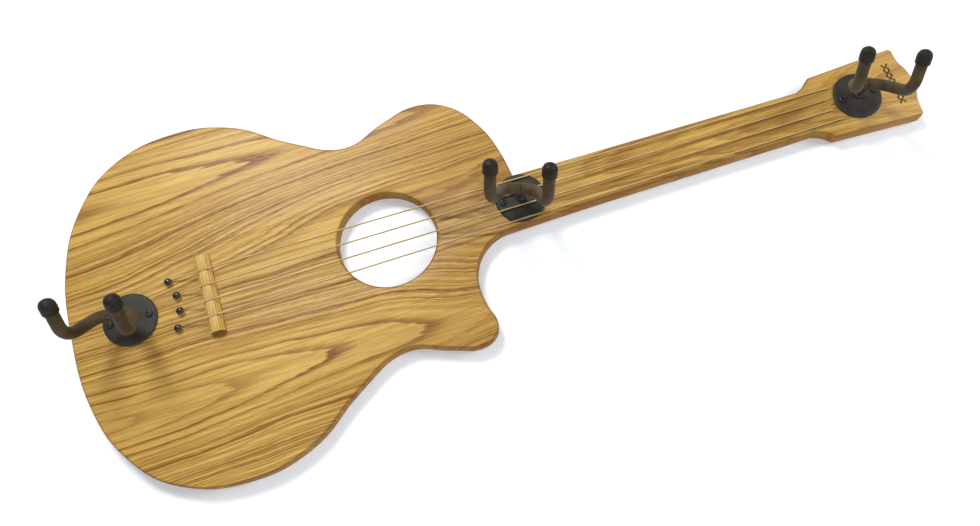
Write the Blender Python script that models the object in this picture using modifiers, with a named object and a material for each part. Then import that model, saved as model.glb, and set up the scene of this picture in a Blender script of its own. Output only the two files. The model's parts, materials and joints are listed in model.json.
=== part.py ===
"""A guitar-shaped oak wall rack with three swivelling yoke hangers.

The rack hangs on a wall with its neck rising to the right. Metres, +Z up, +X right, and +Y into the wall.
The origin is on the rack's back face, on the guitar's axis, behind the middle hanger.

Most pieces are placed in the frame of the rack's front face, whose local axes are across (right), up and
out (towards the room), or in the guitar's own frame, which is that one turned along the sloping neck.
"""

import math

import bmesh
import bpy
from mathutils import Matrix, Vector

MM = 0.001
GAP = 0.3 * MM  # running or seating gap left between neighbouring pieces
QUARTER = math.pi / 2
MERGE = 0.00005

# Board
BOARD_THICKNESS = 19 * MM
NECK_SLOPE = math.radians(19.1)
HOLE_CENTRE = (-154.5 * MM, 1.5 * MM)
HOLE_RADIUS = 54 * MM
# One side of the body as (along the neck, half width), from the tail end to the waist
BODY_SIDE = ((-490, 84), (-467, 139), (-425, 182), (-352, 201), (-285, 187.5), (-228, 149), (-170, 122.8))
# Upper side from the waist over the shoulder to the neck
SHOULDER = ((-122, 139.5), (-82, 149), (-46, 137.5), (-17, 101), (-4.5, 62))
# Lower side from the waist round the horn and the cutaway to the neck
CUTAWAY = ((-122, -137), (-93, -145), (-75, -139), (-68.2, -126.5), (-73, -104), (-74.8, -86),
           (-71, -64), (-57, -43.5), (-36, -32), (-12, -30))
SHOULDER_CORNER_U = -0.5 * MM
NECK_HALF_AT_BODY = 30.6 * MM
NECK_HALF_AT_HEAD = 27 * MM
HEAD_START = 347 * MM
# One side of the headstock as (along the neck, half width), from its flared corner to the crown's middle
HEAD_CORNER = (368, 40.3)
HEAD_END_CORNERS = ((475.5, 46), (479, 43))
HEAD_CROWN = ((480, 27), (484.6, 14.5), (486.5, 5))
HEAD_SHIFT = -1.3 * MM  # the headstock sits a little below the guitar's axis

# Hangers: name, place along and across the guitar's axis, and how far each yoke hangs off upright (degrees)
HANGERS = (
    ("tail", -434.6 * MM, -0.6 * MM, 5.1),
    ("middle", -0.9 * MM, 0.6 * MM, -3.2),
    ("head", 412.5 * MM, -1.5 * MM, -2.5),
)
FLANGE_RADIUS = 28.5 * MM
FLANGE_HEIGHT = 3.5 * MM  # front of the flange above the board's face
FLANGE_SCREW_OFFSET = 20.5 * MM
FLANGE_SCREW_LENGTH = 16 * MM
FLANGE_SCREW_RADIUS = 2 * MM
FLANGE_SCREW_HEAD = (4 * MM, 2.4 * MM)  # radius and height
FLANGE_SCREW_TURN = math.radians(25)

# Yoke: one bent bar on a short stem, in the swivel's frame (across, up, out)
BAR_RADIUS = 4 * MM
COLLAR_RADIUS = 5.2 * MM
COLLAR_HEIGHT = 3 * MM
CROWN = Vector((0, -1.3, 31)) * MM
CROWN_FLAT = 3 * MM  # straight stretch each side of the crown's middle
CROWN_BEND = 17 * MM
ELBOW = Vector((29.6, -33, 70.5)) * MM
ELBOW_BEND = 22 * MM
CAP_TIP = Vector((29.6, -6.3, 111.5)) * MM
SLEEVE_RADIUS = 6.35 * MM
CAP_RADIUS = 8.1 * MM
CAP_LENGTH = 15.5 * MM
CAP_BORE_DEPTH = 11 * MM
SWIVEL_POCKET = (10 * MM, 13 * MM)  # radius and depth
STEM_TAIL = 11 * MM
WASHER = (8 * MM, 1.6 * MM)  # radius and thickness
NUT_WIDTH = 13 * MM
NUT_HEIGHT = 6.5 * MM

# Strings, from the nails over the bridge to the headstock hanger's flange, top string first
STRING_RADIUS = 0.65 * MM
NAILS = ((-388.5, 27.0), (-382.8, 9.3), (-382.8, -8.3), (-388.5, -26.0))
STRING_AT_BRIDGE = (26.3, 8.8, -8.7, -26.2)
STRING_AT_HEAD = (18.2, 4.4, -9.5, -23.4)
NAIL_SHANK_RADIUS = 1.1 * MM
NAIL_HEAD_RADIUS = 4.1 * MM
STRING_AT_NAIL_HEIGHT = 1.7 * MM
BRIDGE_U = -349.4 * MM
BRIDGE_LENGTH = 88 * MM
BRIDGE_HALF_FOOT = 8 * MM
BRIDGE_HALF_TOP = 4.4 * MM
BRIDGE_HEIGHT = 9.3 * MM
NOTCH_DEPTH = 1.2 * MM
KERF_DEPTH = 2.0 * MM
KERF_BEFORE_FLANGE = 16 * MM
KERF_UNDER_FLANGE = 9 * MM

# Keyhole plates let into the back, as (name, along, across the guitar's axis)
KEYHOLE_PLATES = (("body", -330 * MM, 60 * MM), ("neck", 200 * MM, 0.0))
PLATE_SIZE = Vector((16, 44, 1.6)) * MM
PLATE_RECESS = 2.2 * MM
PLATE_HEAD_ROOM = 9 * MM
KEYHOLE_ENTRY_RADIUS = 5 * MM
KEYHOLE_SLOT_RADIUS = 2.4 * MM
KEYHOLE_REACH = 6 * MM
PLATE_SCREW_OFFSET = 17 * MM
PLATE_SCREW_LENGTH = 13 * MM
PLATE_SCREW_RADIUS = 1.6 * MM
PLATE_SCREW_HEAD = (3 * MM, 1.3 * MM)  # radius and depth of its flat, countersunk head


# ---------------------------------------------------------------- helpers

def clear_scene():
    for obj in list(bpy.data.objects):
        bpy.data.objects.remove(obj, do_unlink=True)


def new_collection(name):
    collection = bpy.data.collections.new(name)
    bpy.context.scene.collection.children.link(collection)
    return collection


def new_empty(name, parent, location, rotation, collection):
    empty = bpy.data.objects.new(name, None)
    empty.empty_display_size = 0.03
    collection.objects.link(empty)
    place(empty, parent, location, rotation)
    return empty


def place(obj, parent, location=(0, 0, 0), rotation=(0, 0, 0)):
    obj.parent = parent
    obj.location = location
    obj.rotation_euler = rotation
    return obj


def new_material(name, color, roughness, metallic=0.0):
    material = bpy.data.materials.new(name)
    material.use_nodes = True
    shader = material.node_tree.nodes["Principled BSDF"]
    shader.inputs["Base Color"].default_value = (*color, 1)
    shader.inputs["Roughness"].default_value = roughness
    shader.inputs["Metallic"].default_value = metallic
    material.diffuse_color = (*color, 1)
    return material


def paint(obj, material):
    obj.data.materials.clear()
    obj.data.materials.append(material)
    return obj


def smooth(obj, angle=35):
    obj.data.shade_smooth()
    obj.data.set_sharp_from_angle(angle=math.radians(angle))
    return obj


def add_primitive(operator, name, collection, **settings):
    """Adds a mesh primitive and files it under its own name and collection."""
    operator(**settings)
    obj = bpy.context.object
    obj.name = name
    obj.data.name = name
    for owner in list(obj.users_collection):
        owner.objects.unlink(obj)
    collection.objects.link(obj)
    return obj


def cylinder(name, collection, radius, low, high, sides=16):
    """A cylinder about local Z from low to high."""
    obj = add_primitive(bpy.ops.mesh.primitive_cylinder_add, name, collection,
                        vertices=sides, radius=radius, depth=high - low)
    obj.data.transform(Matrix.Translation((0, 0, (low + high) / 2)))
    return obj


def box(name, collection, low, high):
    low, high = Vector(low), Vector(high)
    obj = add_primitive(bpy.ops.mesh.primitive_cube_add, name, collection, size=1)
    size = high - low
    obj.data.transform(Matrix.Translation((low + high) / 2) @ Matrix.Diagonal((*size, 1)))
    return obj


def turned(name, collection, profile, steps):
    """A solid of revolution about local Z. The profile is (radius, height), down its outer side."""
    mesh = bpy.data.meshes.new(name)
    corners = [(radius, 0, height) for radius, height in profile]
    mesh.from_pydata(corners, [(i, i + 1) for i in range(len(corners) - 1)], [])
    obj = bpy.data.objects.new(name, mesh)
    collection.objects.link(obj)
    screw = obj.modifiers.new("turn", "SCREW")
    screw.steps = screw.render_steps = steps
    screw.use_merge_vertices = True
    screw.merge_threshold = MERGE
    screw.use_smooth_shade = True
    return obj


def closed_turn(name, collection, profile, steps):
    """As turned, for a ring: the profile closes on itself instead of ending on the axis."""
    return turned(name, collection, list(profile) + [profile[0]], steps)


def bar(name, collection, path, radius, resolution, capped=True):
    """A round bar, tube wall or wire along a path of points."""
    curve = bpy.data.curves.new(name, "CURVE")
    curve.dimensions = "3D"
    curve.bevel_depth = radius
    curve.bevel_resolution = resolution
    curve.use_fill_caps = capped
    spline = curve.splines.new("POLY")
    spline.points.add(len(path) - 1)
    for point, position in zip(spline.points, path):
        point.co = (*position, 1)
    obj = bpy.data.objects.new(name, curve)
    collection.objects.link(obj)
    return obj


def as_mesh(obj):
    """Swaps a curve object for a welded mesh object of the same name, place and collection."""
    depsgraph = bpy.context.evaluated_depsgraph_get()
    mesh = bpy.data.meshes.new_from_object(obj.evaluated_get(depsgraph))
    shape = bmesh.new()
    shape.from_mesh(mesh)
    bmesh.ops.remove_doubles(shape, verts=shape.verts, dist=MERGE)
    shape.to_mesh(mesh)
    shape.free()
    name, collection, matrix = obj.name, obj.users_collection[0], obj.matrix_world.copy()
    bpy.data.objects.remove(obj, do_unlink=True)
    mesh.name = name
    solid = bpy.data.objects.new(name, mesh)
    collection.objects.link(solid)
    solid.matrix_world = matrix
    return solid


def hide(cutter):
    cutter.hide_render = True
    cutter.display_type = "WIRE"
    return cutter


def boolean(obj, other, operation):
    modifier = obj.modifiers.new(operation.lower(), "BOOLEAN")
    modifier.operation = operation
    modifier.solver = "EXACT"
    if isinstance(other, bpy.types.Collection):
        modifier.operand_type = "COLLECTION"
        modifier.collection = other
    else:
        modifier.object = other
    return obj


# ---------------------------------------------------------------- board

def board_outline():
    """The outline's corners in order as (along, across, is it a corner), in metres."""
    def scaled(points, sign=1, corner=False):
        return [(u * MM, sign * v * MM, corner) for u, v in points]

    neck = [(SHOULDER_CORNER_U, NECK_HALF_AT_BODY, True)]
    head = [(HEAD_START, NECK_HALF_AT_HEAD, True)]
    head += [((HEAD_START + HEAD_CORNER[0] * MM) / 2 + 1 * MM, 32.2 * MM, False)]
    head += scaled([HEAD_CORNER], corner=True)
    head += scaled(HEAD_END_CORNERS, corner=True) + scaled(HEAD_CROWN)
    upper = scaled(BODY_SIDE) + scaled(SHOULDER) + neck
    upper += [(u, HEAD_SHIFT + v, corner) for u, v, corner in head]
    lower = scaled(BODY_SIDE, -1) + scaled(CUTAWAY)
    lower += [(u, HEAD_SHIFT - v, corner) for u, v, corner in head]
    return [(-498 * MM, 0, False)] + upper + lower[::-1]


def add_loop(curve, points):
    """A closed Bezier loop: plain points run smoothly, corners get straight handles."""
    loop = curve.splines.new("BEZIER")
    loop.bezier_points.add(len(points) - 1)
    loop.use_cyclic_u = True
    for knot, (u, v, corner) in zip(loop.bezier_points, points):
        knot.co = (u, v, 0)
        knot.handle_left_type = knot.handle_right_type = "VECTOR" if corner else "AUTO"


def make_board(collection, cutters, guitar, material):
    curve = bpy.data.curves.new("oak_board", "CURVE")
    curve.dimensions = "2D"
    curve.fill_mode = "BOTH"
    curve.extrude = BOARD_THICKNESS / 2
    curve.resolution_u = 4
    add_loop(curve, board_outline())
    obj = bpy.data.objects.new("oak_board", curve)
    collection.objects.link(obj)
    board = as_mesh(obj)
    place(board, guitar, (0, 0, -BOARD_THICKNESS / 2))
    hole = cylinder("sound_hole", cutters, HOLE_RADIUS, -30 * MM, 10 * MM, 40)
    place(hide(hole), guitar, (*HOLE_CENTRE, 0))
    boolean(board, cutters, "DIFFERENCE")
    return paint(smooth(board), material)


# ---------------------------------------------------------------- screws and nails

def pan_head_screw(name, collection, head_radius, head_height, shank_radius, length, sides):
    """A pan-head wood screw along local Z, its head's underside at zero."""
    profile = ((0, head_height), (head_radius * 0.6, head_height * 0.95),
               (head_radius * 0.9, head_height * 0.65), (head_radius, head_height * 0.2), (head_radius, 0),
               (shank_radius, 0), (shank_radius, -length * 0.8), (0, -length))
    return turned(name, collection, profile, sides)


def cut_cross(screw, head_radius, head_height, tools):
    """The cross-shaped driver recess in a screw's head."""
    reach, half_width = head_radius * 0.52, 0.55 * MM
    for index, turn in enumerate((0, QUARTER)):
        arm = box(f"{screw.name}_recess_{index}", tools, (-reach, -half_width, head_height * 0.45),
                  (reach, half_width, head_height * 2))
        place(hide(arm), screw, rotation=(0, 0, turn))
        boolean(screw, arm, "DIFFERENCE")


def make_nail(index, collection, cutters, guitar, material):
    u, v = (value * MM for value in NAILS[index])
    under = STRING_AT_NAIL_HEIGHT + STRING_RADIUS + 0.85 * MM
    radius = NAIL_HEAD_RADIUS
    profile = ((0, under + 3.2 * MM), (radius * 0.5, under + 2.8 * MM), (radius * 0.86, under + 1.7 * MM),
               (radius, under + 0.5 * MM), (radius * 0.9, under), (NAIL_SHANK_RADIUS, under),
               (NAIL_SHANK_RADIUS, -11 * MM), (0, -13 * MM))
    nail = turned(f"string_nail_{index + 1}", collection, profile, 12)
    place(nail, guitar, (u, v, 0))
    bore = cylinder(f"nail_bore_{index + 1}", cutters, NAIL_SHANK_RADIUS + GAP, -14 * MM, 2 * MM, 10)
    place(hide(bore), guitar, (u, v, 0))
    paint(nail, material)


# ---------------------------------------------------------------- bridge and strings

def make_bridge(collection, cutters, guitar, material):
    """A strip with sloping flanks, notched for the strings."""
    curve = bpy.data.curves.new("bridge_strip", "CURVE")
    curve.dimensions = "2D"
    curve.fill_mode = "BOTH"
    curve.extrude = BRIDGE_LENGTH / 2
    section = curve.splines.new("POLY")
    side = ((BRIDGE_HALF_FOOT, GAP), (BRIDGE_HALF_FOOT, 3.6 * MM),
            (BRIDGE_HALF_TOP, BRIDGE_HEIGHT - 0.6 * MM), (BRIDGE_HALF_TOP - 1.2 * MM, BRIDGE_HEIGHT))
    corners = side + tuple((-u, h) for u, h in side[::-1])
    section.points.add(len(corners) - 1)
    section.use_cyclic_u = True
    for point, (u, h) in zip(section.points, corners):
        point.co = (u, h, 0, 1)
    obj = bpy.data.objects.new("bridge_strip", curve)
    collection.objects.link(obj)
    bridge = as_mesh(obj)
    bridge.data.transform(Matrix.Rotation(QUARTER, 4, "X"))
    place(bridge, guitar, (BRIDGE_U, 0, 0))
    for index, v in enumerate(STRING_AT_BRIDGE):
        half = STRING_RADIUS + GAP
        notch = box(f"bridge_notch_{index + 1}", cutters, (-12 * MM, -half, BRIDGE_HEIGHT - NOTCH_DEPTH),
                    (12 * MM, half, BRIDGE_HEIGHT + 5 * MM))
        place(hide(notch), guitar, (BRIDGE_U, v * MM, 0))
        boolean(bridge, notch, "DIFFERENCE")
    return paint(bridge, material)


def flange_edge_u(v):
    """Where a string at v off the guitar's axis runs under the head flange's edge."""
    _, centre_u, centre_v, _ = HANGERS[2]
    return centre_u - math.sqrt(FLANGE_RADIUS ** 2 - (v - centre_v) ** 2)


def string_path(index):
    """A hook round the nail, a rise to the bridge, a long run, and a dip into the kerf under the flange."""
    nail_u, nail_v = (value * MM for value in NAILS[index])
    bridge_v, head_v = STRING_AT_BRIDGE[index] * MM, STRING_AT_HEAD[index] * MM
    reach = NAIL_SHANK_RADIUS + STRING_RADIUS + GAP
    path = []
    steps = 8
    for step in range(steps + 1):
        angle = math.radians(-60 - 210 * step / steps)
        path.append(Vector((nail_u + reach * math.cos(angle), nail_v + reach * math.sin(angle),
                            STRING_AT_NAIL_HEIGHT)))
    over_bridge = BRIDGE_HEIGHT - NOTCH_DEPTH + GAP + STRING_RADIUS
    path.append(Vector((BRIDGE_U - BRIDGE_HALF_TOP, bridge_v, over_bridge)))
    path.append(Vector((BRIDGE_U + BRIDGE_HALF_TOP, bridge_v, over_bridge)))
    edge = flange_edge_u(head_v)
    in_kerf = -KERF_DEPTH + GAP + STRING_RADIUS
    path.append(Vector((edge - KERF_BEFORE_FLANGE + 2 * MM, head_v, STRING_RADIUS + GAP)))
    path.append(Vector((edge - 5 * MM, head_v, in_kerf)))
    path.append(Vector((edge + KERF_UNDER_FLANGE - 2 * MM, head_v, in_kerf)))
    return path


def make_string(index, collection, cutters, guitar, material):
    string = bar(f"string_{index + 1}", collection, string_path(index), STRING_RADIUS, 1)
    place(paint(string, material), guitar)
    head_v = STRING_AT_HEAD[index] * MM
    edge = flange_edge_u(head_v)
    half = STRING_RADIUS + GAP
    kerf = box(f"string_kerf_{index + 1}", cutters, (edge - KERF_BEFORE_FLANGE, head_v - half, -KERF_DEPTH),
               (edge + KERF_UNDER_FLANGE, head_v + half, 5 * MM))
    place(hide(kerf), guitar)


# ---------------------------------------------------------------- hangers

def make_flange(name, collection, cutters, tools, guitar, u, v, materials):
    """A round flange held by two screws on the guitar's axis, with a bore for the swivelling stem."""
    edge, face = FLANGE_RADIUS, FLANGE_HEIGHT
    bore = BAR_RADIUS + GAP
    profile = ((bore, face), (edge - 3.5 * MM, face), (edge - 1.1 * MM, face - 0.5 * MM),
               (edge, face - 1.5 * MM), (edge, GAP), (bore, GAP))
    flange = closed_turn(f"{name}_flange", collection, profile, 28)
    place(paint(flange, materials["flange_coat"]), guitar, (u, v, 0))
    pocket_radius, pocket_depth = SWIVEL_POCKET
    pocket = cylinder(f"{name}_swivel_pocket", cutters, pocket_radius, -pocket_depth, 5 * MM, 16)
    place(hide(pocket), guitar, (u, v, 0))
    for side, offset in (("tail_side", -FLANGE_SCREW_OFFSET), ("head_side", FLANGE_SCREW_OFFSET)):
        spot = (u + offset, v, 0)
        add_flange_screw(flange, name, side, spot, collection, cutters, tools, guitar, materials)


def add_flange_screw(flange, name, side, spot, collection, cutters, tools, guitar, materials):
    """One screw, with its clearance hole in the flange and its pilot hole in the board."""
    radius = FLANGE_SCREW_RADIUS + GAP
    clearance = cylinder(f"{name}_{side}_clearance", tools, radius, -5 * MM, 12 * MM, 10)
    pilot = cylinder(f"{name}_{side}_pilot", cutters, radius, -FLANGE_SCREW_LENGTH, 5 * MM, 10)
    for cutter in (clearance, pilot):
        place(hide(cutter), guitar, spot)
    boolean(flange, clearance, "DIFFERENCE")
    screw = pan_head_screw(f"{name}_flange_screw_{side}", collection, *FLANGE_SCREW_HEAD, FLANGE_SCREW_RADIUS,
                           FLANGE_SCREW_LENGTH, 10)
    head = (spot[0], spot[1], FLANGE_HEIGHT + GAP)
    place(paint(screw, materials["screw_black"]), guitar, head, (0, 0, FLANGE_SCREW_TURN))
    cut_cross(screw, *FLANGE_SCREW_HEAD, tools)


def arc(centre, start, end, bend):
    """Points on a quarter-or-less arc about centre, from direction start towards direction end."""
    total = start.angle(end)
    steps = max(2, round(math.degrees(total) / 15))
    axis = start.cross(end)
    return [centre + Matrix.Rotation(total * k / steps, 3, axis) @ (start * bend) for k in range(steps + 1)]


def yoke_arm_path(side, short_of_tip):
    """One arm's centreline from the crown's middle, and its end direction. side is -1 (left) or 1."""
    across = Vector((1, 0, 0))
    forward = Vector((0, ELBOW.y - CROWN.y, ELBOW.z - CROWN.z)).normalized()
    middle = CROWN + across * CROWN_FLAT + forward * CROWN_BEND
    reach = ELBOW - middle
    spread = math.acos(CROWN_BEND / reach.length)
    touch = Matrix.Rotation(spread, 3, forward.cross(across)) @ reach.normalized()
    path = [CROWN] + arc(middle, -forward, touch, CROWN_BEND)
    leg = (reach - touch * CROWN_BEND).normalized()
    arm = (CAP_TIP - ELBOW).normalized()
    tangent = ELBOW_BEND * math.tan(leg.angle(arm) / 2)
    inward = (arm - leg * arm.dot(leg)).normalized()
    centre = ELBOW - leg * tangent + inward * ELBOW_BEND
    bend_end = (ELBOW + arm * tangent - centre).normalized()
    path += arc(centre, -inward, bend_end, ELBOW_BEND)
    path.append(CAP_TIP - arm * short_of_tip)
    mirror = Matrix.Diagonal((side, 1, 1))
    return [mirror @ point for point in path], mirror @ arm


def make_yoke(name, collection, swivel, tools, materials):
    """The bent bar with its stem, welded into one piece."""
    bar_end = CAP_LENGTH - CAP_BORE_DEPTH + 2 * GAP
    right, _ = yoke_arm_path(1, bar_end)
    left, _ = yoke_arm_path(-1, bar_end)
    yoke = as_mesh(bar(f"{name}_yoke", collection, left[::-1] + right[1:], BAR_RADIUS, 2))
    stem = cylinder(f"{name}_stem", tools, BAR_RADIUS, -STEM_TAIL, CROWN.z)
    collar_low = FLANGE_HEIGHT + GAP
    collar = cylinder(f"{name}_collar", tools, COLLAR_RADIUS, collar_low, collar_low + COLLAR_HEIGHT)
    for piece in (yoke, stem, collar):
        place(piece, swivel)
    boolean(yoke, hide(stem), "UNION")
    boolean(yoke, hide(collar), "UNION")
    paint(smooth(yoke), materials["yoke_steel"])


def make_sleeve(name, side_name, side, collection, swivel, tools, materials):
    """Half of the soft tubing, from the crown's middle to the end cap, notched where the stem comes in."""
    path, _ = yoke_arm_path(side, CAP_LENGTH + GAP)
    path[0] = path[0] + Vector((side * 0.5 * GAP, 0, 0))
    sleeve = as_mesh(bar(f"{name}_sleeve_{side_name}", collection, path, SLEEVE_RADIUS, 4, capped=False))
    wall = sleeve.modifiers.new("wall", "SOLIDIFY")
    wall.thickness = SLEEVE_RADIUS - BAR_RADIUS - GAP
    wall.offset = -1
    notch = cylinder(f"{name}_sleeve_notch_{side_name}", tools, BAR_RADIUS + GAP, CROWN.z / 2, CROWN.z)
    place(sleeve, swivel)
    place(hide(notch), swivel)
    boolean(sleeve, notch, "DIFFERENCE")
    paint(smooth(sleeve), materials["sleeve_rubber"])


def make_cap(name, side_name, side, collection, swivel, materials):
    """A domed end cap pushed over the bar's end, its mouth against the sleeve."""
    _, arm = yoke_arm_path(side, 0)
    radius, bore = CAP_RADIUS, BAR_RADIUS + GAP
    dome = [(radius * math.sin(a), -radius * 0.8 * (1 - math.cos(a)))
            for a in (math.radians(22.5 * k) for k in range(5))]
    mouth = [(radius, 0.8 * MM - CAP_LENGTH), (radius - 0.7 * MM, -CAP_LENGTH), (bore, -CAP_LENGTH)]
    profile = dome + mouth + [(bore, CAP_BORE_DEPTH - CAP_LENGTH), (0, CAP_BORE_DEPTH - CAP_LENGTH)]
    cap = turned(f"{name}_cap_{side_name}", collection, profile, 14)
    place(paint(cap, materials["cap_rubber"]), swivel, (side * CAP_TIP.x, CAP_TIP.y, CAP_TIP.z))
    cap.rotation_euler = arm.to_track_quat("Z", "Y").to_euler()


def make_swivel_hardware(name, collection, swivel, tools, materials):
    """The washer and lock nut that hold the stem behind the flange."""
    bore = BAR_RADIUS + GAP
    radius, thickness = WASHER
    top = -GAP
    washer = closed_turn(f"{name}_swivel_washer", collection,
                         ((bore, top), (radius, top), (radius, top - thickness), (bore, top - thickness)), 16)
    place(paint(washer, materials["zinc_steel"]), swivel)
    nut_top = top - thickness - GAP
    nut = cylinder(f"{name}_lock_nut", collection, NUT_WIDTH / math.sqrt(3), nut_top - NUT_HEIGHT, nut_top, 6)
    nut_bore = cylinder(f"{name}_nut_bore", tools, bore, -30 * MM, 10 * MM, 14)
    place(paint(nut, materials["zinc_steel"]), swivel)
    place(hide(nut_bore), swivel)
    boolean(nut, nut_bore, "DIFFERENCE")


# ---------------------------------------------------------------- keyhole plates

def make_keyhole_plate(name, u, v, collection, cutters, tools, front, materials):
    """A steel plate with an upright keyhole slot, screwed into a recess in the board's back."""
    middle = Matrix.Rotation(NECK_SLOPE, 3, "Z") @ Vector((u, v, 0))
    back = -BOARD_THICKNESS
    floor = back + PLATE_RECESS
    half_width, half_height = PLATE_SIZE.x / 2, PLATE_SIZE.y / 2
    low = floor - GAP - PLATE_SIZE.z
    plate = box(f"keyhole_plate_{name}", collection, (-half_width, -half_height, low),
                (half_width, half_height, floor - GAP))
    place(paint(plate, materials["zinc_steel"]), front, middle)
    cut_keyhole(plate, front, middle, tools)
    recess = box(f"{name}_plate_recess", cutters, (-half_width - GAP, -half_height - GAP, back - 5 * MM),
                 (half_width + GAP, half_height + GAP, floor))
    room = box(f"{name}_head_room", cutters, (-6 * MM, -12 * MM, back - 4 * MM),
               (6 * MM, 12 * MM, back + PLATE_HEAD_ROOM))
    for pocket in (recess, room):
        place(hide(pocket), front, middle)
    for end, offset in (("upper", PLATE_SCREW_OFFSET), ("lower", -PLATE_SCREW_OFFSET)):
        spot = (middle[0], middle[1] + offset, 0)
        add_plate_screw(plate, f"{name}_{end}", spot, low, collection, cutters, tools, front, materials)


def cut_keyhole(plate, front, middle, tools):
    """A round entry at the bottom, opening into a narrower slot above it."""
    low = -BOARD_THICKNESS - 5 * MM
    slot = KEYHOLE_SLOT_RADIUS
    shapes = (
        (cylinder(f"{plate.name}_entry", tools, KEYHOLE_ENTRY_RADIUS, low, 0, 20), -KEYHOLE_REACH),
        (cylinder(f"{plate.name}_slot_end", tools, slot, low, 0, 12), KEYHOLE_REACH),
        (box(f"{plate.name}_slot", tools, (-slot, -KEYHOLE_REACH, low), (slot, KEYHOLE_REACH, 0)), 0),
    )
    for shape, height in shapes:
        place(hide(shape), front, (middle[0], middle[1] + height, 0))
        boolean(plate, shape, "DIFFERENCE")


def add_plate_screw(plate, name, spot, face, collection, cutters, tools, front, materials):
    """One flat-head screw, driven from behind and set just inside the plate's face, with its holes."""
    head, depth = PLATE_SCREW_HEAD
    shank, length = PLATE_SCREW_RADIUS, PLATE_SCREW_LENGTH
    wide, narrow = head + GAP, shank + GAP
    sink = turned(f"{name}_countersink", tools, ((0, 3 * MM), (wide, 3 * MM), (wide, 0), (narrow, -depth),
                                                 (narrow, -6 * MM), (0, -6 * MM)), 10)
    pilot = cylinder(f"{name}_pilot", cutters, narrow, -length - 2 * MM, 3 * MM, 10)
    screw = turned(f"keyhole_screw_{name}", collection, ((0, 0), (head, 0), (shank, -depth),
                                                         (shank, -length * 0.8), (0, -length)), 10)
    for cutter in (sink, pilot):
        place(hide(cutter), front, (spot[0], spot[1], face), (math.pi, 0, 0))
    boolean(plate, sink, "DIFFERENCE")
    place(paint(screw, materials["zinc_steel"]), front, (spot[0], spot[1], face + 0.2 * MM), (math.pi, 0, 0))


# ---------------------------------------------------------------- the whole rack

def make_materials():
    return {
        "oak": new_material("oak", (0.62, 0.40, 0.16), 0.5),
        "bridge_oak": new_material("bridge_oak", (0.68, 0.45, 0.19), 0.5),
        "flange_coat": new_material("flange_coat", (0.045, 0.042, 0.042), 0.6),
        "yoke_steel": new_material("yoke_steel", (0.05, 0.045, 0.045), 0.5, 0.6),
        "sleeve_rubber": new_material("sleeve_rubber", (0.13, 0.095, 0.065), 0.75),
        "cap_rubber": new_material("cap_rubber", (0.025, 0.023, 0.024), 0.65),
        "screw_black": new_material("screw_black", (0.03, 0.03, 0.03), 0.4, 0.5),
        "nail_black": new_material("nail_black", (0.02, 0.012, 0.01), 0.2),
        "string_brass": new_material("string_brass", (0.72, 0.52, 0.22), 0.35, 1.0),
        "zinc_steel": new_material("zinc_steel", (0.6, 0.6, 0.6), 0.35, 1.0),
    }


def build():
    clear_scene()
    rack = new_collection("guitar_wall_rack")
    cutters = new_collection("board_cutters")
    tools = new_collection("tools")
    materials = make_materials()
    front = new_empty("front_face", None, (0, -BOARD_THICKNESS, 0), (QUARTER, 0, 0), rack)
    guitar = new_empty("guitar_axis", front, (0, 0, 0), (0, 0, NECK_SLOPE), rack)

    make_bridge(rack, tools, guitar, materials["bridge_oak"])
    for index in range(len(NAILS)):
        make_nail(index, rack, cutters, guitar, materials["nail_black"])
        make_string(index, rack, cutters, guitar, materials["string_brass"])

    for name, u, v, lean in HANGERS:
        make_flange(name, rack, cutters, tools, guitar, u, v, materials)
        upright = math.radians(lean) - NECK_SLOPE
        swivel = new_empty(f"{name}_swivel", guitar, (u, v, 0), (0, 0, upright), rack)
        make_yoke(name, rack, swivel, tools, materials)
        make_swivel_hardware(name, rack, swivel, tools, materials)
        for side_name, side in (("left", -1), ("right", 1)):
            make_sleeve(name, side_name, side, rack, swivel, tools, materials)
            make_cap(name, side_name, side, rack, swivel, materials)

    for name, u, v in KEYHOLE_PLATES:
        make_keyhole_plate(name, u, v, rack, cutters, tools, front, materials)
    make_board(rack, cutters, guitar, materials["oak"])


build()
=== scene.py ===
"""Looks for a guitar-shaped oak wall rack: its oak, twisted wires, coated flanges and rubber-covered yokes.

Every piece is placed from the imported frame. Metres, +Z up, +Y into the wall.
"""
import json
import math
from collections import defaultdict

import bmesh
import bpy
from mathutils import Matrix, Vector


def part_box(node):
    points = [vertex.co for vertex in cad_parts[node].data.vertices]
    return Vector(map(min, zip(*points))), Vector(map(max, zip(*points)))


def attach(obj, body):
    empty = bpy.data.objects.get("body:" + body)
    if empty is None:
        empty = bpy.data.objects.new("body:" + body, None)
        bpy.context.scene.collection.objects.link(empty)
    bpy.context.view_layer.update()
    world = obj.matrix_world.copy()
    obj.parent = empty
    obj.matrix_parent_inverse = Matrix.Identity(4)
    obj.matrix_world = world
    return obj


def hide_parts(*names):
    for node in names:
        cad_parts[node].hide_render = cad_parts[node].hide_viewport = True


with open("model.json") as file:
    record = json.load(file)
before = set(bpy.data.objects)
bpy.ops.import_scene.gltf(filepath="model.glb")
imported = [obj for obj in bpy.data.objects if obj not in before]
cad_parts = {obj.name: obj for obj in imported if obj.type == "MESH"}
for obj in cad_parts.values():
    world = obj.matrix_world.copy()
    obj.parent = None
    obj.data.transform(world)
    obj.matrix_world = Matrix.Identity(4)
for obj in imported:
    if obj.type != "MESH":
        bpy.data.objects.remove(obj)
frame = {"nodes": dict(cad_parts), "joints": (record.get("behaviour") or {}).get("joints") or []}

MM = 0.001
GAP = 0.3 * MM
NECK_SLOPE = math.radians(19.1)
HANGERS = ("tail", "middle", "head")
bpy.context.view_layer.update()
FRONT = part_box("oak_board")[0].y
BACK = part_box("oak_board")[1].y

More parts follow.
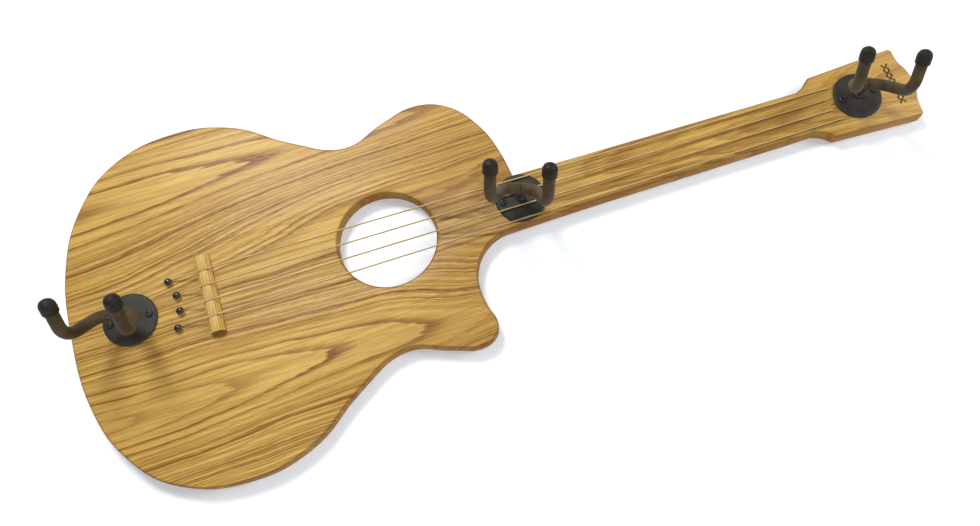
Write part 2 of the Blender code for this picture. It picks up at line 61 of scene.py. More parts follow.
# Local axes of the guitar's front face as columns: along the neck, across it, out of the wall
GUITAR = Matrix(((math.cos(NECK_SLOPE), -math.sin(NECK_SLOPE), 0, 0), (0, 0, -1, FRONT),
                 (math.sin(NECK_SLOPE), math.cos(NECK_SLOPE), 0, 0), (0, 0, 0, 1)))

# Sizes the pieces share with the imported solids
BAR_RADIUS = 4 * MM
SLEEVE_RADIUS = 6.35 * MM
CROWN = Vector((0, -1.3, 31)) * MM
CROWN_FLAT = 3 * MM
CROWN_BEND = 17 * MM
ELBOW = Vector((29.6, -33, 70.5)) * MM
ELBOW_BEND = 22 * MM
CAP_TIP = Vector((29.6, -6.3, 111.5)) * MM
CAP_LENGTH = 15.5 * MM
STEM_TAIL = 11 * MM
FLANGE_HEIGHT = 3.5 * MM
CAP_BORE_DEPTH = 11 * MM
STRING_RADIUS = 0.65 * MM
NAIL_RADIUS = 1.1 * MM
KERF_LENGTH = 23 * MM
KERF_PAST_STRING = 2 * MM
KERF_SLOPE_END = 12 * MM
PLATE_HEAD_ROOM = Vector((6, 9, 12)) * MM

# Sizes of what the solids leave out
BOARD_ROUNDING = 3.4 * MM
SHARP_CORNER = math.radians(19)
LOOP_HEIGHT = 1.7 * MM
BRIDGE_REST = 4.4 * MM
STRAND_RADIUS = 0.46 * MM
STRAND_LAY = 0.44 * MM
STRAND_STEP = 0.62 * MM
STEPS_PER_TURN = 9

# The board's two cathedral figures, in millimetres on the guitar: the heart's height across the board, where
# along it the ovals start, how fast they taper, and their spacing against the upper figure's
UPPER_FIGURE = (134, -889, 0.0525, 1.0)
LOWER_FIGURE = (-103, -573, 0.08, 1.218)

# The burned ornament, in millimetres: its place along the guitar, half its length, and its swing
BRAID_PLACE = 461
BRAID_REACH = 27
BRAID_SWING = 3.1

# The studio
WALL_GAP = 1.5 * MM
WALL_TOP = 3.0
FLOOR_LEVEL = -1.3
ROOM_HALF_WIDTH = 4.0


# ---------------------------------------------------------------- node helper

class Num:
    """A shader value that takes ordinary arithmetic."""

    def __init__(self, graph, socket):
        self.graph, self.socket = graph, socket

    def __add__(self, other):
        return self.graph.math("ADD", self, other)

    def __sub__(self, other):
        return self.graph.math("SUBTRACT", self, other)

    def __rsub__(self, other):
        return self.graph.math("SUBTRACT", other, self)

    def __mul__(self, other):
        return self.graph.math("MULTIPLY", self, other)

    def __truediv__(self, other):
        return self.graph.math("DIVIDE", self, other)

    __radd__ = __add__
    __rmul__ = __mul__


class Graph:
    """A material's node tree with short calls for the nodes used here."""

    def __init__(self, name):
        self.material = bpy.data.materials.new(name)
        self.material.use_nodes = True
        self.nodes = self.material.node_tree.nodes
        self.shader = self.nodes["Principled BSDF"]

    def node(self, kind, **settings):
        node = self.nodes.new("ShaderNode" + kind)
        for key, value in settings.items():
            setattr(node, key, value)
        return node

    def feed(self, target, value):
        if isinstance(value, Num):
            value = value.socket
        if isinstance(value, bpy.types.NodeSocket):
            self.material.node_tree.links.new(value, target)
        else:
            target.default_value = value

    def set(self, **inputs):
        for key, value in inputs.items():
            self.feed(self.shader.inputs[key.replace("_", " ")], value)

    def math(self, operation, *values, clamp=False):
        node = self.node("Math", operation=operation, use_clamp=clamp)
        for target, value in zip(node.inputs, values):
            self.feed(target, value)
        return Num(self, node.outputs[0])

    def step(self, value, low, high, to_low=0.0, to_high=1.0):
        """A smooth rise from to_low to to_high as value goes from low to high."""
        node = self.node("MapRange", interpolation_type="SMOOTHSTEP")
        for target, number in zip(node.inputs, (value, low, high, to_low, to_high)):
            self.feed(target, number)
        return Num(self, node.outputs[0])

    def hump(self, value, centre, width):
        """A bell curve."""
        distance = (value - centre) / width
        return self.math("EXPONENT", distance * distance * -1.0)

    def distance(self, first, second):
        """The length of the hypotenuse."""
        return self.math("SQRT", self.math("POWER", first, 2) + self.math("POWER", second, 2))

    def split(self, vector):
        node = self.node("SeparateXYZ")
        self.feed(node.inputs[0], vector)
        return [Num(self, output) for output in node.outputs]

    def join(self, *parts):
        node = self.node("CombineXYZ")
        for target, part in zip(node.inputs, parts):
            self.feed(target, part)
        return node.outputs[0]

    def place(self, rotation=(0, 0, 0), scale=1000.0):
        """Position in millimetres in the piece's own rest frame, turned by rotation."""
        node = self.node("Mapping")
        self.feed(node.inputs["Vector"], self.node("TexCoord").outputs["Object"])
        node.inputs["Rotation"].default_value = rotation
        node.inputs["Scale"].default_value = (scale,) * 3
        return node.outputs[0]

    def noise(self, vector, scale=1.0, detail=2.0, roughness=0.5):
        node = self.node("TexNoise")
        inputs = {"Vector": vector, "Scale": scale, "Detail": detail, "Roughness": roughness}
        for key, value in inputs.items():
            self.feed(node.inputs[key], value)
        return Num(self, node.outputs[0])

    def random(self, value):
        node = self.node("TexWhiteNoise", noise_dimensions="1D")
        self.feed(node.inputs["W"], value)
        return Num(self, node.outputs["Value"])

    def mix(self, factor, first, second):
        node = self.node("Mix", data_type="RGBA")
        self.feed(node.inputs[0], factor)
        self.feed(node.inputs[6], (*first, 1) if isinstance(first, tuple) else first)
        self.feed(node.inputs[7], (*second, 1) if isinstance(second, tuple) else second)
        return node.outputs[2]

    def bump(self, height, strength, distance):
        node = self.node("Bump")
        node.inputs["Strength"].default_value = strength
        node.inputs["Distance"].default_value = distance
        self.feed(node.inputs["Height"], height)
        self.feed(self.shader.inputs["Normal"], node.outputs[0])

    def facing(self):
        """How squarely the surface faces the room or the wall: 1 on the faces, 0 on the sides."""
        return self.math("ABSOLUTE", self.split(self.node("NewGeometry").outputs["Normal"])[1])


# ---------------------------------------------------------------- materials

def late_wood(graph, along, depth, across, phase, fine):
    """How dark the growth rings are: a bold band once per ring and finer lines between, by the ring phase."""
    phase = phase + (graph.noise(graph.join(along / 60, depth / 20, across / 3.4), detail=3) - 0.5) * 0.36
    ring = graph.math("FLOOR", phase)
    strength = 0.66 + graph.math("SINE", ring * 1.3 - 2.6) * 0.26
    strength = strength * graph.step(ring, 5, 7, 1.0, graph.random(ring + 0.37) * 0.9 + 0.68)
    patch = graph.noise(graph.join(along / 130, depth / 60, across / 20), detail=2)
    bold = ring_line(graph, phase, 0.06, 0.46) * strength * graph.step(patch, 0.3, 0.6, 0.75, 1.1)
    between = phase * 2.0 + 0.45
    minor = ring_line(graph, between, 0.15, 0.7) * graph.step(patch, 0.35, 0.65, 1.0, 0.4) * fine
    minor = minor * (graph.random(graph.math("FLOOR", between) + 0.71) * 0.8 + 0.4)
    grit = graph.noise(graph.join(along / 15, depth / 4, across / 0.95), detail=4, roughness=0.7)
    return graph.math("MAXIMUM", bold, minor) * graph.step(grit, 0.3, 0.58, 0.72, 1.15)


def finish_oak(graph, along, depth, across, phase, fine, light, shade, dark):
    """Oak from its growth-ring phase, with fibres, short strokes and open pores, under a satin lacquer."""
    band = late_wood(graph, along, depth, across, phase, fine)
    fibre = graph.noise(graph.join(along / 70, depth / 14, across / 1.9), detail=4, roughness=0.62)
    pore = graph.noise(graph.join(along / 9, depth / 2.2, across / 0.6), detail=2)
    pore = graph.step(pore, 0.55, 0.7) * (band * 0.8 + 0.25)
    stroke = graph.noise(graph.join(along / 24, depth / 5, across / 1.6), detail=2)
    stroke = graph.step(stroke, 0.52, 0.68) * (band * 0.7 + 0.3)
    cloud = graph.noise(graph.join(along / 260, depth / 90, across / 80), detail=1)
    colour = graph.mix(graph.step(cloud, 0.3, 0.7, 0.0, 0.4), light, shade)
    colour = graph.mix(graph.step(fibre, 0.4, 0.62, 0.0, 0.7), colour, shade)
    for mark, share, tone in ((band, 1.0, dark), (stroke, 0.35, dark), (pore, 0.4, (0.07, 0.03, 0.008))):
        colour = graph.mix(graph.math("MULTIPLY", mark, share, clamp=True), colour, tone)
    graph.set(Roughness=pore * 0.25 + 0.42, Specular_IOR_Level=0.25, Coat_Weight=0.13, Coat_Roughness=0.38)
    graph.bump(fibre * 0.25 - pore, 0.3, 0.0004)
    return colour


def ring_line(graph, phase, onset, end):
    """A line once per ring: a quick dark onset, then a slow fade."""
    place = graph.math("FRACT", phase)
    return graph.step(place, 0.0, onset) * graph.step(place, onset, end, 1.0, 0.0)


def figure_radius(graph, along, depth, across):
    """Distance from the heart of the nearer of the panel's two cathedral figures, in ring-like ovals."""
    wave = graph.noise(graph.join(along / 230, depth / 120, across / 80), detail=1.5) - 0.5
    ripple = graph.noise(graph.join(along / 80, depth / 60, across / 26), detail=2) - 0.5
    warped = across + wave * 16 + ripple * 6
    warped = warped - graph.step(along, -498, -150) * graph.hump(across, 72, 50) * 46
    warped = warped + graph.step(along, -190, -40) * graph.hump(across, -62, 42) * 26
    ovals = [graph.distance(warped - heart, (along - start) * taper) * spacing
             for heart, start, taper, spacing in (UPPER_FIGURE, LOWER_FIGURE)]
    return graph.math("SMOOTH_MIN", *ovals, 40.0)


def board_oak():
    """The panel's oak: two cathedral figures, joined by straight grain that runs on up the neck."""
    graph = Graph("oak_lacquered")
    along, depth, across = graph.split(graph.place((0, NECK_SLOPE, 0)))
    radius = figure_radius(graph, along, depth, across)
    uneven = graph.noise(graph.join(radius / 11, 0.0, 0.0), detail=1) - 0.5
    phase = (radius - 1.5) / 10.0 + graph.math("MAXIMUM", radius - 48, 0.0) * 0.075
    phase = phase + uneven * graph.step(radius, 44, 70, 0.0, 2.2)
    colour = finish_oak(graph, along, depth, across, phase, graph.step(radius, 38, 62, 0.1, 1.0),
                        (0.655, 0.435, 0.11), (0.44, 0.235, 0.044), (0.215, 0.088, 0.013))
    # The neck is streaked, a painted shade darkens the wood just past the sound hole, and the headstock is
    # paler
    flame = graph.noise(graph.join(along / 120, depth / 30, across / 4.2), detail=2.5, roughness=0.5)
    flame = graph.step(flame, 0.52, 0.58) * 0.56 * graph.step(along, -20, 90)
    flame = flame * graph.step(along, 320, 390, 1.0, 0.15)
    # Painted shade: a broad darkening round the end of the sound hole, added to the neck's streaks
    colour = graph.mix(graph.hump(along, -40, 80) * 0.24 + flame, colour, (0.23, 0.092, 0.014))
    colour = graph.mix(graph.step(along, 370, 450) * 0.3, colour, (0.74, 0.44, 0.15))
    # The sides are darker, partly for their end grain and partly as painted shade where they turn from the
    # front light, and the eased rim is darkest
    facing = graph.facing()
    rim = graph.step(facing, 0.15, 0.55) * graph.step(facing, 0.8, 0.985, 1.0, 0.0)
    colour = graph.mix(graph.step(facing, 0.1, 0.75, 0.65, 0.0), colour, (0.22, 0.085, 0.012))
    colour = graph.mix(rim * 0.6, colour, (0.17, 0.065, 0.01))
    colour = graph.mix(burned_ornament(graph, along, depth, across) * 0.92, colour, (0.02, 0.009, 0.005))
    graph.set(Base_Color=colour, Specular_IOR_Level=graph.step(facing, 0.2, 0.9, 0.06, 0.22))
    return graph.material


def burned_ornament(graph, along, depth, across):
    """A plain two-strand braid burned across the end of the headstock."""
    swing = graph.math("SINE", across * 0.42) * BRAID_SWING
    one = graph.math("ABSOLUTE", along - BRAID_PLACE - swing)
    other = graph.math("ABSOLUTE", along - BRAID_PLACE + swing)
    line = graph.step(graph.math("MINIMUM", one, other), 0.9, 1.7, 1.0, 0.0)
    reach = graph.step(graph.math("ABSOLUTE", across), BRAID_REACH - 1, BRAID_REACH + 0.5, 1.0, 0.0)
    return line * reach * graph.step(depth, -17, -15, 1.0, 0.0)


def bridge_oak():
    """Paler oak with its grain along the strip and dark end grain."""
    graph = Graph("oak_bridge")
    across, depth, along = graph.split(graph.place((0, NECK_SLOPE, 0)))
    wave = graph.noise(graph.join(along / 60, depth / 30, across / 14), detail=1) - 0.5
    phase = (across + depth * 0.8 + wave * 4) / 3.4
    colour = finish_oak(graph, along, depth, across, phase, 0.3, (0.68, 0.46, 0.14), (0.54, 0.33, 0.08),
                        (0.30, 0.14, 0.03))
    normal = graph.node("VectorMath", operation="DOT_PRODUCT")
    graph.feed(normal.inputs[0], graph.node("NewGeometry").outputs["Normal"])
    normal.inputs[1].default_value = GUITAR.col[1].xyz
    end = graph.step(graph.math("ABSOLUTE", Num(graph, normal.outputs["Value"])), 0.6, 0.9)
    graph.set(Base_Color=graph.mix(end * 0.8, colour, (0.12, 0.045, 0.015)))
    return graph.material


def sleeve_rubber():
    """Dull brown-grey tubing, paler in patches, with dust."""
    graph = Graph("rubber_tube")
    place = graph.place()
    cloud = graph.noise(place, 1 / 14, detail=3)
    grit = graph.noise(place, 1.6, detail=3, roughness=0.7)
    colour = graph.mix(graph.step(cloud, 0.3, 0.7), (0.038, 0.024, 0.0085), (0.070, 0.045, 0.0175))
    colour = graph.mix(graph.step(grit, 0.5, 0.75, 0.0, 0.5), colour, (0.115, 0.078, 0.036))
    graph.set(Base_Color=colour, Roughness=cloud * 0.2 + 0.5, Sheen_Weight=0.06, Sheen_Roughness=0.5,
              Specular_IOR_Level=0.25)
    graph.set(Sheen_Tint=(0.8, 0.72, 0.62, 1))
    graph.bump(grit, 0.18, 0.0003)
    return graph.material


def cap_rubber():
    """Near-black moulded rubber with a slight bloom."""
    graph = Graph("rubber_cap")
    place = graph.place()
    cloud = graph.noise(place, 1 / 5, detail=3)
    grit = graph.noise(place, 2.4, detail=3, roughness=0.7)
    colour = graph.mix(graph.step(cloud, 0.35, 0.7), (0.010, 0.007, 0.004), (0.020, 0.015, 0.009))
    graph.set(Base_Color=colour, Roughness=cloud * 0.2 + 0.42, Specular_IOR_Level=0.25)
    graph.bump(grit, 0.2, 0.0002)
    return graph.material


def coated_metal(name, low, high, roughness, grain):
    """A powder coat: fine orange peel with paler flecks, and a little unevenness."""
    graph = Graph(name)
    place = graph.place()
    cloud = graph.noise(place, 1 / 18, detail=3)
    peel = graph.noise(place, grain, detail=3, roughness=0.6)
    colour = graph.mix(graph.step(cloud, 0.3, 0.7), low, high)
    colour = graph.mix(graph.step(peel, 0.55, 0.8, 0.0, 0.35), colour, tuple(2.2 * part for part in high))
    graph.set(Base_Color=colour, Roughness=cloud * 0.15 + roughness, Specular_IOR_Level=0.4)
    graph.bump(peel, 0.22, 0.0002)
    return graph.material


def nail_gloss():
    graph = Graph("nail_gloss")
    cloud = graph.noise(graph.place(), 0.6, detail=3)
    colour = graph.mix(graph.step(cloud, 0.4, 0.7), (0.008, 0.005, 0.004), (0.022, 0.013, 0.009))
    graph.set(Base_Color=colour, Roughness=cloud * 0.12 + 0.2, Specular_IOR_Level=0.3,
              Coat_Weight=0.8, Coat_Roughness=0.06)
    graph.bump(cloud, 0.1, 0.0002)
    return graph.material


def wire_brass():
    """Brass wire, its underside painted dull brown as shade, its top at the plain brass colour."""
    graph = Graph("wire_brass")
    upward = graph.split(graph.node("NewGeometry").outputs["Normal"])[2]
    cloud = graph.noise(graph.place(), 1 / 30, detail=4)
    colour = graph.mix(graph.step(cloud, 0.35, 0.7), (0.78, 0.57, 0.22), (0.90, 0.72, 0.38))
    # Painted shade: the wire's downward-facing side is darkened to dull brown
    colour = graph.mix(graph.step(upward, -0.45, 0.05, 0.9, 0.0), colour, (0.15, 0.08, 0.02))
    graph.set(Base_Color=colour, Metallic=0.15, Roughness=cloud * 0.2 + 0.45, Specular_IOR_Level=0.15)
    graph.bump(cloud, 0.05, 0.0002)
    return graph.material


def zinc_plate():
    """Bright zinc with soft spangles and fine rolling scratches."""
    graph = Graph("zinc_plate")
    place = graph.place()
    along, depth, across = graph.split(place)
    cloud = graph.noise(place, 1 / 4, detail=3)
    scratch = graph.noise(graph.join(along / 0.35, depth / 4, across / 12), detail=2)
    colour = graph.mix(graph.step(cloud, 0.35, 0.7), (0.42, 0.43, 0.44), (0.62, 0.62, 0.60))
    graph.set(Base_Color=colour, Metallic=1.0, Roughness=scratch * 0.25 + 0.25)
    graph.bump(scratch, 0.12, 0.0001)
    return graph.material


# ---------------------------------------------------------------- mesh helpers

def add_piece(name, mesh, look, body, nodes, matrix=None):
    """Adds a mesh as a piece of the object, on the body that carries it; look is (material, slot), and its
    slot is not used.
    """
    material, slot = look
    if matrix is not None:
        mesh.transform(matrix)
    mesh.materials.clear()
    mesh.materials.append(material)
    piece = bpy.data.objects.new(name, mesh)
    bpy.context.scene.collection.objects.link(piece)
    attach(piece, body)
    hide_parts(*nodes)


def mesh_of(shape, name, sharp=40):
    """Turns a bmesh into a mesh with smooth faces and sharp corners."""
    bmesh.ops.remove_doubles(shape, verts=shape.verts, dist=0.000002)
    bmesh.ops.recalc_face_normals(shape, faces=shape.faces)
    mesh = bpy.data.meshes.new(name)
    shape.to_mesh(mesh)
    shape.free()
    mesh.shade_smooth()
    mesh.set_sharp_from_angle(angle=math.radians(sharp))
    return mesh


def apply_modifiers(mesh, *steps):
    """The mesh after (type, settings) modifiers, made on a throwaway object."""
    carrier = bpy.data.objects.new("carrier", mesh)
    bpy.context.scene.collection.objects.link(carrier)
    for kind, settings in steps:
        modifier = carrier.modifiers.new(kind.lower(), kind)
        for key, value in settings.items():
            setattr(modifier, key, value)
    result = bpy.data.meshes.new_from_object(carrier.evaluated_get(bpy.context.evaluated_depsgraph_get()))
    bpy.data.objects.remove(carrier, do_unlink=True)
    return result


def cut(mesh, cutters):
    """The mesh with cutter meshes taken out of it."""
    tools = []
    for cutter in cutters:
        tool = bpy.data.objects.new("cutter", cutter)
        bpy.context.scene.collection.objects.link(tool)
        tools.append(tool)
    steps = [("BOOLEAN", {"operation": "DIFFERENCE", "solver": "EXACT", "object": tool}) for tool in tools]
    result = apply_modifiers(mesh, *steps)
    for tool in tools:
        bpy.data.objects.remove(tool, do_unlink=True)
    return result


def box_mesh(low, high, matrix=None):
    """A box between two corners, moved by a matrix if there is one."""
    shape = bmesh.new()
    bmesh.ops.create_cube(shape, size=1)
    low, high = Vector(low), Vector(high)
    size = high - low
    bmesh.ops.transform(shape, matrix=Matrix.Translation((low + high) / 2) @ Matrix.Diagonal((*size, 1)),
                        verts=shape.verts)
    if matrix is not None:
        bmesh.ops.transform(shape, matrix=matrix, verts=shape.verts)
    return mesh_of(shape, "box")


def sweep(path, radii, sides, closed=False):
    """A round tube along a path with a radius at each point; closed joins its last ring to its first."""
    shape = bmesh.new()
    side = None
    rings = []
    for index, point in enumerate(path):
        before, after = path[max(index - 1, 0)], path[min(index + 1, len(path) - 1)]
        tangent = (after - before).normalized()
        if side is None:
            side = tangent.orthogonal().normalized()
        side = (side - tangent * side.dot(tangent)).normalized()
        other = tangent.cross(side)
        angles = [math.tau * k / sides for k in range(sides)]
        rings.append([(point, side * math.cos(a) + other * math.sin(a)) for a in angles])
    verts = [[shape.verts.new(point + out * radius) for point, out in ring]
             for ring, radius in zip(rings, radii[0])]
    if closed:
        verts += [[shape.verts.new(point + out * radius) for point, out in ring]
                  for ring, radius in zip(rings[::-1], radii[1])]
    pairs = list(zip(verts, verts[1:])) + ([(verts[-1], verts[0])] if closed else [])
    for first, second in pairs:
        for k in range(sides):
            shape.faces.new((first[k], first[(k + 1) % sides], second[(k + 1) % sides], second[k]))
    if not closed:
        shape.faces.new(verts[0])
        shape.faces.new(verts[-1][::-1])
    return shape


def lathe(profile, sides=48):
    """A solid of revolution about Z from (radius, height) points; a profile off the axis closes on itself."""
    shape = bmesh.new()
    rings = []
    for radius, height in profile:
        if radius == 0:
            rings.append([shape.verts.new((0, 0, height))] * sides)
        else:
            rings.append([shape.verts.new((radius * math.cos(a), radius * math.sin(a), height))
                          for a in (math.tau * k / sides for k in range(sides))])
    on_axis = profile[0][0] == 0
    for first, second in list(zip(rings, rings[1:])) + ([] if on_axis else [(rings[-1], rings[0])]):
        for k in range(sides):
            corners = (first[k], first[(k + 1) % sides], second[(k + 1) % sides], second[k])
            face = list(dict.fromkeys(corners))
            if len(face) > 2:
                shape.faces.new(face)
    return shape


def rounded(corners, radius, steps=4):
    """A profile with its inner corners rounded; corners are (radius, height) points in millimetres."""
    points = [Vector(corner) for corner in corners]
    result = [points[0]]
    for before, corner, after in zip(points, points[1:], points[2:]):
        reach = min(radius, (before - corner).length * 0.45, (after - corner).length * 0.45)
        start = corner + (before - corner).normalized() * reach
        end = corner + (after - corner).normalized() * reach
        for k in range(steps + 1):
            t = k / steps
            result.append(start * (1 - t) ** 2 + corner * 2 * t * (1 - t) + end * t ** 2)
    result.append(points[-1])
    return [(point.x * MM, point.y * MM) for point in result]


def cad_mesh(node):
    """A welded copy of a CAD node's mesh."""
    shape = bmesh.new()
    shape.from_mesh(frame["nodes"][node].data)
    bmesh.ops.remove_doubles(shape, verts=shape.verts, dist=0.00001)
    return shape


def bevelled_cad(node, width, segments=2):
    """A CAD node's shape with its coplanar facets merged and its edges eased."""
    shape = cad_mesh(node)
    bmesh.ops.dissolve_limit(shape, angle_limit=math.radians(4), verts=shape.verts, edges=shape.edges)
    mesh = bpy.data.meshes.new(node)
    shape.to_mesh(mesh)
    shape.free()
    mesh = apply_modifiers(mesh, ("BEVEL", {"width": width, "segments": segments, "limit_method": "ANGLE",
                                            "angle_limit": math.radians(30)}))
    mesh.shade_smooth()
    mesh.set_sharp_from_angle(angle=math.radians(35))
    return mesh


# ---------------------------------------------------------------- board

def front_loops():
    """The outlines on the board's front face, longest first, in the guitar's frame."""
    shape = cad_mesh("oak_board")
    links = defaultdict(list)
    for edge in shape.edges:
        on_front = all(abs(vert.co.y - FRONT) < 0.00001 for vert in edge.verts)
        facing = sorted(abs(face.normal.y) for face in edge.link_faces)
        if on_front and len(facing) == 2 and facing[0] < 0.3 and facing[1] > 0.9:
            for vert in edge.verts:
                links[vert].append(edge)
    inverse = GUITAR.inverted()
    loops, seen = [], set()
    for start in links:
        if start in seen:
            continue
        loop, vert = [], start
        while vert is not None:
            seen.add(vert)
            loop.append((inverse @ vert.co).xy)
            vert = next((other for edge in links[vert] if (other := edge.other_vert(vert)) not in seen), None)
        loops.append(loop)
    shape.free()
    return sorted(loops, key=lambda loop: -sum((a - b).length for a, b in zip(loop, loop[1:])))


def board_mesh():
    """The board with a smooth outline and eased edges, before anything is cut into it."""
    half = (BACK - FRONT) / 2
    curve = bpy.data.curves.new("board", "CURVE")
    curve.dimensions = "2D"
    curve.fill_mode = "BOTH"
    curve.extrude = half - BOARD_ROUNDING
    curve.bevel_depth = BOARD_ROUNDING
    curve.bevel_resolution = 3
    curve.offset = -BOARD_ROUNDING
    curve.resolution_u = 4
    for loop in front_loops()[:2]:
        spline = curve.splines.new("BEZIER")
        spline.use_cyclic_u = True
        spline.bezier_points.add(len(loop) - 1)
        for index, knot in enumerate(spline.bezier_points):
            before, here, after = loop[index - 1], loop[index], loop[(index + 1) % len(loop)]
            corner = (here - before).angle(after - here) > SHARP_CORNER
            knot.co = (*here, 0)
            knot.handle_left_type = knot.handle_right_type = "VECTOR" if corner else "AUTO"
    carrier = bpy.data.objects.new("board", curve)
    bpy.context.scene.collection.objects.link(carrier)
    mesh = bpy.data.meshes.new_from_object(carrier.evaluated_get(bpy.context.evaluated_depsgraph_get()))
    bpy.data.objects.remove(carrier, do_unlink=True)
    shape = bmesh.new()
    shape.from_mesh(mesh)
    middle = Matrix.Translation((0, 0, -half))
    bmesh.ops.transform(shape, matrix=GUITAR @ middle, verts=shape.verts)
    return mesh_of(shape, "board", 38)


def board_cutters():
    """The recess and head room of each keyhole plate, and the kerfs for the strings."""
    cutters = []
    edge = Vector((GAP, GAP, GAP))
    room = PLATE_HEAD_ROOM
    for name in ("body", "neck"):
        low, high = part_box(f"keyhole_plate_{name}")
        cutters.append(box_mesh(low - edge, (high.x + GAP, BACK + GAP, high.z + GAP)))
        middle = (low + high) / 2
        cutters.append(box_mesh((middle.x - room.x, BACK - room.y, middle.z - room.z),
                                (middle.x + room.x, BACK + GAP, middle.z + room.z)))
    half = STRING_RADIUS + GAP
    for index in range(1, 5):
        end = string_path(index)[-1]
        cutters.append(box_mesh((end.x - KERF_LENGTH, end.y - half, -2 * MM),
                                (end.x + KERF_PAST_STRING, end.y + half, 5 * MM), GUITAR))
    return cutters


# ---------------------------------------------------------------- strings, nails, bridge

def string_path(index):
    """A string's course in the guitar's frame: part way round its nail, over the bridge, into its kerf."""
    inverse = GUITAR.inverted()
    nail = inverse @ centre(f"string_nail_{index}")
    bridge = inverse @ centre("bridge_strip")
    verts = [inverse @ vert.co for vert in frame["nodes"][f"string_{index}"].data.vertices]
    on_bridge = [vert for vert in verts if abs(vert.x - bridge.x) < 6 * MM]
    over = sum(on_bridge, Vector()) / len(on_bridge)
    last = max(vert.x for vert in verts)
    tip = [vert for vert in verts if vert.x > last - 1 * MM]
    end = sum(tip, Vector()) / len(tip)
    reach = NAIL_RADIUS + STRING_RADIUS + GAP
    path = [Vector((nail.x + reach * math.cos(a), nail.y + reach * math.sin(a), LOOP_HEIGHT))
            for a in (math.radians(-60 - 210 * k / 14) for k in range(15))]
    path += [Vector((bridge.x + offset, over.y, over.z)) for offset in (-BRIDGE_REST, BRIDGE_REST)]
    path.append(Vector((end.x - KERF_LENGTH + KERF_PAST_STRING, end.y, STRING_RADIUS + GAP)))
    path += [Vector((end.x - KERF_SLOPE_END, end.y, end.z)), end]
    return path


def centre(node):
    low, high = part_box(node)
    return (low + high) / 2


def resample(path, spacing):
    """Points at even spacing along a polyline."""
    result, carry = [path[0]], 0.0
    for start, end in zip(path, path[1:]):
        length = (end - start).length
        travel = spacing - carry
        while travel <= length:
            result.append(start.lerp(end, travel / length))
            travel += spacing
        carry = length - (travel - spacing)
    return result


def twisted_wire(path):
    """Three strands laid together along a path."""
    points = resample(path, STRAND_STEP)
    side = None
    frames = []
    for before, point, after in zip([points[0]] + points, points, points[1:] + [points[-1]]):
        tangent = (after - before).normalized()
        side = tangent.orthogonal().normalized() if side is None else side
        side = (side - tangent * side.dot(tangent)).normalized()
        frames.append((point, side, tangent.cross(side)))
    wire = bmesh.new()
    for strand in range(3):
        course = []
        for index, (point, side, other) in enumerate(frames):
            angle = math.tau * (strand / 3 + index / STEPS_PER_TURN)
            course.append(point + (side * math.cos(angle) + other * math.sin(angle)) * STRAND_LAY)
        part = bpy.data.meshes.new("strand")
        shape = sweep(course, ([STRAND_RADIUS] * len(course),), 6)
        shape.to_mesh(part)
        shape.free()
        wire.from_mesh(part)
        bpy.data.meshes.remove(part)
    mesh = bpy.data.meshes.new("wire")
    wire.to_mesh(mesh)
    wire.free()
    mesh.shade_smooth()
    return mesh


def nail_mesh():
    """A dome-head nail, its head's underside 3.2 mm above the board."""
    corners = [(0, 6.4), (1.4, 6.3), (2.75, 5.75), (3.7, 4.85), (4.1, 3.8), (3.95, 3.25),
               (1.15, 3.2), (1.1, -11), (0, -13)]
    return mesh_of(lathe(rounded(corners, 0.35, 2), 40), "nail", 50)


# ---------------------------------------------------------------- hangers

def swivel_frame(name):
    """The hanger's frame: across its yoke, up it, and out of the wall, at its joint."""
    joint = next(j for j in frame["joints"] if j["child"] == f"{name}_hanger")
    across = centre(f"{name}_cap_right") - centre(f"{name}_cap_left")
    across.y = 0
    across.normalize()
    out = Vector((0, -1, 0))
    up = out.cross(across)
    matrix = Matrix((across, up, out)).transposed().to_4x4()
    matrix.translation = joint["pos_m"]
    return matrix


def arc(centre_point, start, end, bend, step=6):
    """Points round a bend between two directions from its centre, about step degrees apart."""
    total = start.angle(end)
    count = max(2, round(math.degrees(total) / step))
    axis = start.cross(end)
    turns = [Matrix.Rotation(total * k / count, 3, axis) for k in range(count + 1)]
    return [centre_point + turn @ (start * bend) for turn in turns]


def arm_path(side, short_of_tip):
    """One arm's centreline from the crown's middle, and its end direction."""
    across = Vector((1, 0, 0))
    forward = Vector((0, ELBOW.y - CROWN.y, ELBOW.z - CROWN.z)).normalized()
    middle = CROWN + across * CROWN_FLAT + forward * CROWN_BEND
    reach = ELBOW - middle
    spread = math.acos(CROWN_BEND / reach.length)
    touch = Matrix.Rotation(spread, 3, forward.cross(across)) @ reach.normalized()
    path = [CROWN.copy()] + arc(middle, -forward, touch, CROWN_BEND)
    leg = (reach - touch * CROWN_BEND).normalized()
    arm = (CAP_TIP - ELBOW).normalized()
    tangent = ELBOW_BEND * math.tan(leg.angle(arm) / 2)
    inward = (arm - leg * arm.dot(leg)).normalized()
    bend_centre = ELBOW - leg * tangent + inward * ELBOW_BEND
    path += arc(bend_centre, -inward, (ELBOW + arm * tangent - bend_centre).normalized(), ELBOW_BEND)
    path.append(CAP_TIP - arm * short_of_tip)
    mirror = Matrix.Diagonal((side, 1, 1))
    return [mirror @ point for point in path], mirror @ arm


